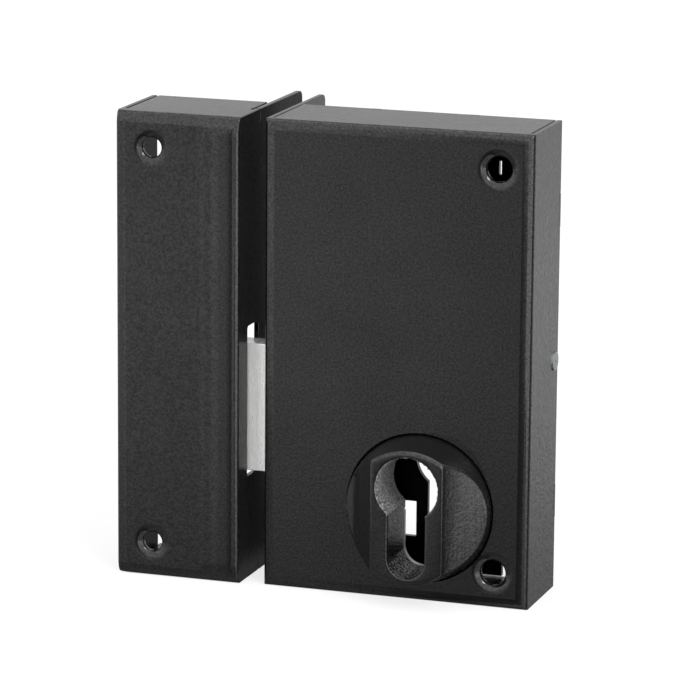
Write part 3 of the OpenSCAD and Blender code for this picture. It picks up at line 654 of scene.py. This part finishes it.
def strike_line(s, share):
    """Outer plan of the strike from its left flange to its right one; share is how full the bead is."""
    left, right, front = STRIKE_LOW.x, STRIKE_HIGH.x, STRIKE_LOW.y
    fullness = 0.4 + 0.6 * share
    bead_r, hollow = s.bead_r * fullness, BEAD_HOLLOW * fullness
    pad = pad_line(s, share)
    groove = front + pad[-1][1]
    bead = Vector((right - bead_r, groove + bead_r - s.bead_out * share))
    dip_y = groove - hollow
    dip = Vector((bead.x - math.sqrt((bead_r + hollow) ** 2 - (bead.y - dip_y) ** 2), dip_y))
    line = [(left, s.case_d)] + [(left + u, front + v) for u, v in fold_curve(s)]
    line += [(dip.x + u, front + depth) for u, depth in pad]
    to_bead = math.atan2(bead.y - dip.y, bead.x - dip.x)
    for i in range(1, 8):
        a = math.pi / 2 + (to_bead - math.pi / 2) * i / 8
        line.append((dip.x + hollow * math.cos(a), dip.y + hollow * math.sin(a)))
    to_dip = to_bead - math.pi
    for i in range(17):
        a = to_dip * (1 - i / 16)
        line.append((bead.x + bead_r * math.cos(a), bead.y + bead_r * math.sin(a)))
    return line + [(right, s.case_d)]


def strike_sections(s, steps=8):
    """Sections of the strike up its height, folded back at both ends, where the bead fades out too."""
    fold = fold_curve(s)
    places = {round(d, 3) for d, _ in fold} | {s.bead_fade * i / steps for i in range(1, steps + 1)}
    low = []
    for z in sorted(places):
        if low and z - low[-1][0] < 0.1:
            continue
        t = min(1.0, z / s.bead_fade)
        depth = 0.0
        for (z0, y0), (z1, y1) in zip(fold, fold[1:]):
            if z0 - 0.001 <= z <= z1:
                depth = y0 + (y1 - y0) * (z - z0) / (z1 - z0)
                break
        line = strike_line(s, t * t * (3 - 2 * t))
        low.append((z, [(x, y if y > s.case_d - 0.1 else y + depth) for x, y in line]))
    return low + [(s.case_h - z, line) for z, line in reversed(low)]


def strike_solid(s):
    """The folded strike."""
    left, right, front = STRIKE_LOW.x, STRIKE_HIGH.x, STRIKE_LOW.y
    h, d, t = s.case_h, s.case_d, s.sheet
    screw_x = left + s.strike_inset
    inner = box(left + t, right - t, front + t, d + 1, t, h - t)
    rings, holes = zip(*[
        dished_hole(screw_x, z, front, t, s.dimple, s.strike_hole_r, s.strike_dish_r)
        for z in (s.screw_inset, h - s.screw_inset)
    ])
    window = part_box("bolt_head")
    b0, b1 = (window[0] - LOCK) / MM, (window[1] - LOCK) / MM
    y = (b0.y + b1.y) / 2
    z = (b0.z + b1.z) / 2 + WINDOW_UP
    opening = rounded_outline(y - WINDOW_HALF_D, y + WINDOW_HALF_D, z - WINDOW_HALF_H, z + WINDOW_HALF_H, 1.0)
    cuts = [prism("x", opening, right - t - 1.5, right + 1)]
    cuts += lip_holes(s, right, -1)
    for z0, z1 in ((-1, t + 0.5), (h - t - 0.5, h + 1)):
        cuts += [box(left + t, left + t + s.slit, FLAP_START, d + 1, z0, z1),
                 box(right - t - STRIKE_FLAP_GAP, right - t, STRIKE_FLAP_DEPTH, d + 1, z0, z1)]
    for z0, z1 in ((-1, LIP_SLIT_LONG), (h - LIP_SLIT_LONG, h + 1)):
        cuts.append(box(right - t - 1, right + 1, LIP_SLIT_DEPTH, LIP_SLIT_DEPTH + s.slit, z0, z1))
    lip = prism("x", lip_outline(FLAP_START, STRIKE_HIGH.y, h, s.lip_corner), right - t, right)
    return combined(loft("z", strike_sections(s)), *less(inner), *plus(lip, *rings), *less(*holes, *cuts))


# Collar


def profile_line(s, steps=40):
    """Outline of the cylinder opening, as (x, z)."""
    half = s.profile_slot / 2
    drop = s.profile_h - s.profile_r - half
    start = -math.acos(half / s.profile_r)
    line = []
    for i in range(2 * steps + 1):
        a = start + (math.pi - 2 * start) * i / (2 * steps)
        line.append((s.backset + s.profile_r * math.cos(a), s.axis_z + s.profile_r * math.sin(a)))
    for i in range(steps + 1):
        a = math.pi + math.pi * i / steps
        line.append((s.backset + half * math.cos(a), s.axis_z - drop + half * math.sin(a)))
    return line


def collar_section(s, steps=28):
    """Section of the collar across its raised bar, as (x, y)."""
    half, top = s.bar_w / 2, s.collar_out - FLANK_DROP
    side = []
    for i in range(steps + 1):
        dx = half + (s.collar_r - half) * i / steps
        share = (s.collar_r - dx) / (s.collar_r - half)
        rise = 0.4 * share + 0.6 * share ** 1.6
        side.append((dx, -(s.rim_out + (top - s.rim_out) * rise)))
    right = [(half, -s.collar_out)] + side + [(s.collar_r + 1, -s.rim_out), (s.collar_r + 1, 1.0)]
    left = [(-x, y) for x, y in reversed(right)]
    return [(s.backset + x, y) for x, y in right + left]


def collar_solid(s):
    """The cast collar, with the softness of a casting."""
    z = s.axis_z + s.profile_r - s.profile_h / 2
    cone = [(-s.collar_out, s.bar_end_r - s.bar_round), (s.bar_round - s.collar_out, s.bar_end_r),
            (0.0, s.collar_r), (1.0, s.collar_r)]
    across = prism("z", collar_section(s), 0, 60)
    plug = combined(lathe("y", s.backset, z, cone, 192), ("INTERSECT", across))
    sharp = combined(
        plug,
        *plus(
            rod("y", s.backset, z, 0.5, COLLAR_STEP, s.collar_r, 192),
            rod("y", s.backset, z, s.sheet, COLLAR_STEP, s.collar_r + COLLAR_FLANGE, 192),
            rod("y", s.backset, s.axis_z, 2.0, COLLAR_BACK, s.profile_r + BARREL_WALL, 128),
        ),
        *less(prism("y", profile_line(s), -20, 12)),
    )
    work = linked("work", sharp)
    remesh = work.modifiers.new("cast", "REMESH")
    remesh.mode, remesh.voxel_size, remesh.adaptivity = "VOXEL", s.casting_grain, 0.0
    smooth = work.modifiers.new("soft", "SMOOTH")
    smooth.factor, smooth.iterations = 0.5, 7
    bm = evaluated(work)
    discard(work)
    return roughened(s, bm)


def in_bore(s, x, z, reach=0.4):
    """Whether a place lies in the cylinder opening or on its walls."""
    half = s.profile_slot / 2
    round_part = math.hypot(x - s.backset, z - s.axis_z) < s.profile_r + reach
    low = s.axis_z + s.profile_r - s.profile_h
    return round_part or (abs(x - s.backset) < half + reach and low - reach < z < s.axis_z)


def roughened(s, bm):
    """The casting with its raw skin in the opening: rough in the round part and at the slot's lower end."""
    bm.normal_update()
    low = s.axis_z + s.profile_r - s.profile_h
    for v in bm.verts:
        p = v.co
        if abs(v.normal.y) < 0.7 and in_bore(s, p.x, p.z):
            upper = min(1.0, max(0.0, (p.z - s.axis_z + 8.5) / 2.5))
            lower = min(1.0, max(0.0, (low + 5.0 - p.z) / 2.5))
            amount = s.raw_depth * max(upper, 0.6 * lower)
            shift = perlin.fractal(p * 1.5, 0.8, 2.0, 4)
            v.co = p + v.normal * amount * shift
    for f in bm.faces:
        c = f.calc_center_median()
        raw = c.z > s.axis_z - 7.6 and abs(f.normal.y) < 0.7 and in_bore(s, c.x, c.z)
        f.material_index = int(raw)
    return bm


# Bolt and spring


def bolt_solid(s):
    """The bolt with its tongue, its edges rounded."""
    lo, hi = [(corner - LOCK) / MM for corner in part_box("bolt_head")]
    relief = s.axis_z + 16
    outline = [(lo.x, lo.z), (hi.x - 6, lo.z), (hi.x - 6, relief), (hi.x, relief), (hi.x, hi.z), (lo.x, hi.z)]
    holes = [rod("y", 12.5, z, lo.y - 1, hi.y + 1, 2.03, 48) for z in (relief + 3.2, hi.z - 3.7)]
    return softened(tidied(combined(prism("y", outline, lo.y, hi.y), *less(*holes))), s.bolt_chamfer, 60)


def tube(path, r, sides=14):
    """A round wire along a path."""
    bm = bmesh.new()
    rings = []
    normal = Vector((1, 0, 0))
    for i, p in enumerate(path):
        tangent = (path[min(i + 1, len(path) - 1)] - path[max(i - 1, 0)]).normalized()
        normal = (normal - tangent * normal.dot(tangent)).normalized()
        across = tangent.cross(normal)
        rings.append([
            bm.verts.new(p + r * (math.cos(a) * normal + math.sin(a) * across))
            for a in (2 * math.pi * k / sides for k in range(sides))
        ])
    bm.faces.new(rings[0])
    bm.faces.new(rings[-1])
    for low, high in zip(rings, rings[1:]):
        for k in range(sides):
            bm.faces.new((low[k], low[(k + 1) % sides], high[(k + 1) % sides], high[k]))
    bmesh.ops.recalc_face_normals(bm, faces=bm.faces)
    return bm


def spring_path():
    """The tumbler's spring: hook over the lever, coil round the pivot, leg on the case."""
    pivot, wire, coil, pitch = Vector((66.0, 0.0, 72.0)), 0.5, 5.0, 1.15
    hook = Vector((52.0, 0.0, 76.396))
    y0, y_coil = 17.1 + wire, 19.9
    away = math.hypot(pivot.x - hook.x, hook.z - pivot.z)
    start = math.pi - math.atan2(hook.z - pivot.z, pivot.x - hook.x) + math.acos(coil / away)
    sweep = 2 * math.pi - start + 2 * math.pi * 3
    steps = round(sweep / (2 * math.pi) * 40)
    path = [Vector((hook.x, y0, hook.z)), Vector((hook.x, y_coil - 0.6, hook.z)),
            Vector((hook.x + 0.4, y_coil, hook.z - 0.3))]
    for i in range(steps + 1):
        a = start + sweep * i / steps
        y = y_coil + pitch * sweep / (2 * math.pi) * i / steps
        path.append(Vector((pivot.x + coil * math.cos(a), y, pivot.z + coil * math.sin(a))))
    path.append(Vector((73.4, path[-1].y, pivot.z + 12)))
    return path, hook, pivot


# Operators


class RIMLOCK_OT_case_shell(bpy.types.Operator):
    """Builds the folded case"""

    bl_idname = "rimlock.case_shell"
    bl_label = "Case"

    def execute(self, context):
        s = sizes()
        bm = softened(tidied(case_solid(s)), s.edge_round)
        finished("case_shell_formed", bm, material("coat"), "case", ["case_shell"])
        return {"FINISHED"}


class RIMLOCK_OT_strike_box(bpy.types.Operator):
    """Builds the folded strike"""

    bl_idname = "rimlock.strike_box"
    bl_label = "Strike"

    def execute(self, context):
        s = sizes()
        bm = softened(tidied(strike_solid(s)), s.edge_round)
        obj = finished("strike_box_formed", bm, material("coat"), "strike", ["strike_box"])
        # The strike's right flange lies in the shade of the gap beside the case; it takes the duller copy of
        # the coat as painted shade.
        obj.data.materials.append(material("shade_matt"))
        for p in obj.data.polygons:
            p.material_index = int(p.normal.x > 0.99)
        return {"FINISHED"}


class RIMLOCK_OT_cylinder_collar(bpy.types.Operator):
    """Builds the cast collar round the cylinder opening"""

    bl_idname = "rimlock.cylinder_collar"
    bl_label = "Cylinder collar"

    def execute(self, context):
        obj = finished("cylinder_collar_cast", collar_solid(sizes()), material("cast"), "case",
                       ["cylinder_collar"], 80.0, False)
        obj.data.materials.append(material("raw"))
        m = obj.modifiers.new("fewer_faces", "DECIMATE")
        m.ratio = 0.35
        return {"FINISHED"}


class RIMLOCK_OT_bolt_head(bpy.types.Operator):
    """Builds the bolt"""

    bl_idname = "rimlock.bolt_head"
    bl_label = "Bolt"

    def execute(self, context):
        bm = bolt_solid(sizes())
        finished("bolt_head_nickelled", bm, material("bolt"), "bolt", ["bolt_head"])
        return {"FINISHED"}


class RIMLOCK_OT_tumbler_spring(bpy.types.Operator):
    """Builds the tumbler's spring as one fixed wire; the real spring bends as the tumbler lifts"""

    bl_idname = "rimlock.tumbler_spring"
    bl_label = "Tumbler spring"

    def execute(self, context):
        path, hook, pivot = spring_path()
        obj = linked("tumbler_spring_wire", in_row_frame(tube(path, 0.5)))
        obj.data.materials.append(material("spring"))
        obj.data.shade_smooth()
        obj.data.set_sharp_from_angle(angle=math.radians(50))
        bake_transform(obj)
        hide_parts("tumbler_spring")
        return {"FINISHED"}


class RIMLOCK_OT_plain_parts(bpy.types.Operator):
    """Finishes the pieces that are shown as they were made: plates, studs, rivets, screws and the tumbler"""

    bl_idname = "rimlock.plain_parts"
    bl_label = "Plates, studs and screws"

    FINISHES = {
        "coat": ("back_plate",),
        "zinc": ("guide_plate", "clamp_plate", "tail_plate"),
        "stud": ("back_plate_rivet", "guide_plate_rivets", "tail_rivets", "clamp_posts", "guide_stud",
                 "tumbler_pivot", "tumbler_stop_pin"),
        "screw": ("clamp_screws", "collar_screws"),
        "yellow": ("tumbler_lever",),
        "spring": ("stud_clips",),
    }

    def execute(self, context):
        for key, names in self.FINISHES.items():
            for name in names:
                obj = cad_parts[name]
                obj.data.materials.clear()
                obj.data.materials.append(material(key))
        return {"FINISHED"}


def area_light(name, place, target, size, power, colour=(1.0, 1.0, 1.0)):
    """A rectangular light that looks at a target, in metres."""
    lamp = bpy.data.lights.new(name, "AREA")
    lamp.shape, lamp.size, lamp.size_y = "RECTANGLE", size[0], size[1]
    lamp.energy, lamp.color = power, colour
    obj = bpy.data.objects.new(name, lamp)
    bpy.context.scene.collection.objects.link(obj)
    obj.location = place
    obj.rotation_euler = (Vector(target) - Vector(place)).to_track_quat("-Z", "Y").to_euler()
    return obj


class RIMLOCK_OT_stage(bpy.types.Operator):
    """Makes the floor, the lights, the surroundings and the camera"""

    bl_idname = "rimlock.stage"
    bl_label = "Stage"

    def execute(self, context):
        bm = bmesh.new()
        bmesh.ops.create_grid(bm, x_segments=1, y_segments=1, size=9.0)
        floor = linked("floor", bm)
        mat, shader, nodes, links = node_tree("floor_paper")
        shader.inputs["Base Color"].default_value = (*looks().floor, 1.0)
        shader.inputs["Roughness"].default_value = 0.9
        shader.inputs["Specular IOR Level"].default_value = 0.1
        floor.data.materials.append(mat)
        self.paper(nodes, links, shader, nodes["Material Output"])
        self.surroundings(context.scene)
        area_light("key", (1.1, -1.0, 1.25), (0, 0, 0.06), (0.6, 0.6), 14)
        area_light("top", (0.1, 0.2, 1.6), (0, 0, 0.06), (1.4, 1.4), 6)
        self.camera(context.scene)
        context.scene.view_settings.view_transform = "Standard"
        return {"FINISHED"}

    def paper(self, nodes, links, shader, output):
        """Makes the floor white to the camera with a soft shadow, and lets reflections pass to the room."""
        path = nodes.new("ShaderNodeLightPath")
        glow = nodes.new("ShaderNodeEmission")
        glow.inputs["Strength"].default_value = 1.0
        share = nodes.new("ShaderNodeMath")
        share.operation = "MULTIPLY"
        share.inputs[1].default_value = 0.75
        links.new(path.outputs["Is Camera Ray"], share.inputs[0])
        seen = nodes.new("ShaderNodeMixShader")
        links.new(share.outputs["Value"], seen.inputs["Fac"])
        links.new(shader.outputs["BSDF"], seen.inputs[1])
        links.new(glow.outputs["Emission"], seen.inputs[2])
        mirrored = nodes.new("ShaderNodeMath")
        mirrored.operation = "MAXIMUM"
        links.new(path.outputs["Is Glossy Ray"], mirrored.inputs[0])
        links.new(path.outputs["Is Transmission Ray"], mirrored.inputs[1])
        clear = nodes.new("ShaderNodeBsdfTransparent")
        both = nodes.new("ShaderNodeMixShader")
        links.new(mirrored.outputs["Value"], both.inputs["Fac"])
        links.new(seen.outputs["Shader"], both.inputs[1])
        links.new(clear.outputs["BSDF"], both.inputs[2])
        links.new(both.outputs["Shader"], output.inputs["Surface"])

    # Brightness of the room by azimuth in degrees: 0 is in front of the lock, 90 is to its right
    BELOW = ((-180, 0.6), (-165, 0.3), (-135, 0.3), (-110, 0.8), (-60, 1.0), (-45, 1.1), (-30, 1.45),
             (-22.5, 0.98), (-19.5, 1.08), (-16, 0.7), (-10, 0.18), (-4, 0.25), (2, 0.9), (8, 2.7), (74, 2.7),
             (83, 0.25), (108, 0.25), (120, 0.73), (168, 0.73), (180, 0.6))
    ABOVE = ((-180, 0.6), (-110, 0.8), (-60, 1.6), (-12, 1.7), (10, 1.8), (72, 2.2), (82, 0.5), (108, 0.5),
             (122, 0.6), (180, 0.6))

    # Its share by the sine of the elevation: a soft floor shade below and a dip under the horizon
    RISE = ((-0.4, 0.3), (-0.285, 0.3), (-0.213, 1.0), (-0.2, 1.0), (-0.168, 0.82), (-0.1, 1.0), (0.0, 1.0))

    def along(self, nodes, links, value, stops):
        """A brightness that follows a value through these stops, each (place, brightness)."""
        low, high = stops[0][0], stops[-1][0]
        ramp = nodes.new("ShaderNodeValToRGB")
        ramp.color_ramp.interpolation = "EASE"
        elements = ramp.color_ramp.elements
        elements[1].position = 1.0
        for place, _ in stops[1:-1]:
            elements.new((place - low) / (high - low))
        for element, (_, share) in zip(elements, stops):
            element.color = (share, share, share, 1.0)
        links.new(spread(nodes, links, value, 0.0, 1.0, low, high), ramp.inputs["Fac"])
        return ramp.outputs["Color"]

    def surroundings(self, scene):
        """A pale room with a large soft light at the right front and dark gaps beside it.

        It is white to the camera.
        """
        world = bpy.data.worlds.new("studio")
        world.use_nodes = True
        scene.world = world
        nodes, links = world.node_tree.nodes, world.node_tree.links
        place = nodes.new("ShaderNodeTexCoord")
        parts = nodes.new("ShaderNodeSeparateXYZ")
        links.new(place.outputs["Generated"], parts.inputs["Vector"])
        flip = nodes.new("ShaderNodeMath")
        flip.operation = "MULTIPLY"
        flip.inputs[1].default_value = -1.0
        links.new(parts.outputs["Y"], flip.inputs[0])
        angle = nodes.new("ShaderNodeMath")
        angle.operation = "ARCTAN2"
        links.new(parts.outputs["X"], angle.inputs[0])
        links.new(flip.outputs["Value"], angle.inputs[1])
        azimuth = nodes.new("ShaderNodeMath")
        azimuth.operation = "DEGREES"
        links.new(angle.outputs["Value"], azimuth.inputs[0])
        azimuth = azimuth.outputs["Value"]
        height = nodes.new("ShaderNodeMix")
        height.data_type = "RGBA"
        links.new(spread(nodes, links, parts.outputs["Z"], 0.0, 1.0, -0.12, 0.12), height.inputs["Factor"])
        links.new(self.along(nodes, links, azimuth, self.BELOW), height.inputs["A"])
        links.new(self.along(nodes, links, azimuth, self.ABOVE), height.inputs["B"])
        faded = nodes.new("ShaderNodeMix")
        faded.data_type, faded.blend_type = "RGBA", "MULTIPLY"
        faded.inputs["Factor"].default_value = 1.0
        links.new(height.outputs["Result"], faded.inputs["A"])
        links.new(self.along(nodes, links, parts.outputs["Z"], self.RISE), faded.inputs["B"])
        path = nodes.new("ShaderNodeLightPath")
        mix = nodes.new("ShaderNodeMix")
        mix.data_type = "RGBA"
        links.new(path.outputs["Is Camera Ray"], mix.inputs["Factor"])
        links.new(faded.outputs["Result"], mix.inputs["A"])
        mix.inputs["B"].default_value = (1.0, 1.0, 1.0, 1.0)
        links.new(mix.outputs["Result"], nodes["Background"].inputs["Color"])

    def camera(self, scene):
        """The photograph's camera, fitted to its edges."""
        yaw, pitch, roll = (math.radians(a) for a in (18.5, 12.516, 0.483))
        level = Vector((-math.sin(yaw), math.cos(yaw), 0.0)) * math.cos(pitch)
        forward = level - Vector((0.0, 0.0, math.sin(pitch)))
        right = Vector((math.cos(yaw), math.sin(yaw), 0.0))
        up = right.cross(forward)
        across = right * math.cos(roll) + up * math.sin(roll)
        above = up * math.cos(roll) - right * math.sin(roll)
        data = bpy.data.cameras.new("photo_camera")
        data.sensor_width, data.lens = 36.0, 216.99
        data.clip_start, data.clip_end = 0.05, 30.0
        obj = bpy.data.objects.new("photo_camera", data)
        scene.collection.objects.link(obj)
        turn = Matrix((across, above, -forward)).transposed().to_4x4()
        obj.matrix_world = Matrix.Translation(LOCK + Vector((377.46, -1053.84, 315.01)) * MM) @ turn
        scene.camera = obj


OPERATORS = (
    RIMLOCK_OT_stage,
    RIMLOCK_OT_case_shell,
    RIMLOCK_OT_strike_box,
    RIMLOCK_OT_cylinder_collar,
    RIMLOCK_OT_bolt_head,
    RIMLOCK_OT_tumbler_spring,
    RIMLOCK_OT_plain_parts,
)


class RIMLOCK_PT_panel(bpy.types.Panel):
    """Lists the lock's pieces, sizes and colours"""

    bl_idname = "RIMLOCK_PT_panel"
    bl_label = "Rim lock"
    bl_space_type = "VIEW_3D"
    bl_region_type = "UI"
    bl_category = "Rim lock"

    def draw(self, context):
        for op in OPERATORS:
            self.layout.operator(op.bl_idname)
        for group in (context.scene.rim_lock_sizes, context.scene.rim_lock_looks):
            column = self.layout.column(align=True)
            for name in group.__annotations__:
                column.prop(group, name)


CLASSES = (RimLockSizes, RimLockLooks, *OPERATORS, RIMLOCK_PT_panel)


def register():
    """Adds the classes and the scene's properties."""
    for c in CLASSES:
        bpy.utils.register_class(c)
    bpy.types.Scene.rim_lock_sizes = bpy.props.PointerProperty(type=RimLockSizes)
    bpy.types.Scene.rim_lock_looks = bpy.props.PointerProperty(type=RimLockLooks)


def unregister():
    """Takes them away again."""
    del bpy.types.Scene.rim_lock_looks
    del bpy.types.Scene.rim_lock_sizes
    for c in reversed(CLASSES):
        bpy.utils.unregister_class(c)


def main():
    """Builds every piece."""
    register()
    for op in OPERATORS:
        group, name = op.bl_idname.split(".")
        if getattr(getattr(bpy.ops, group), name)() != {"FINISHED"}:
            raise RuntimeError(f"{op.bl_label} wasn't built")
    bpy.context.view_layer.update()


if __name__ == "__main__":
    main()
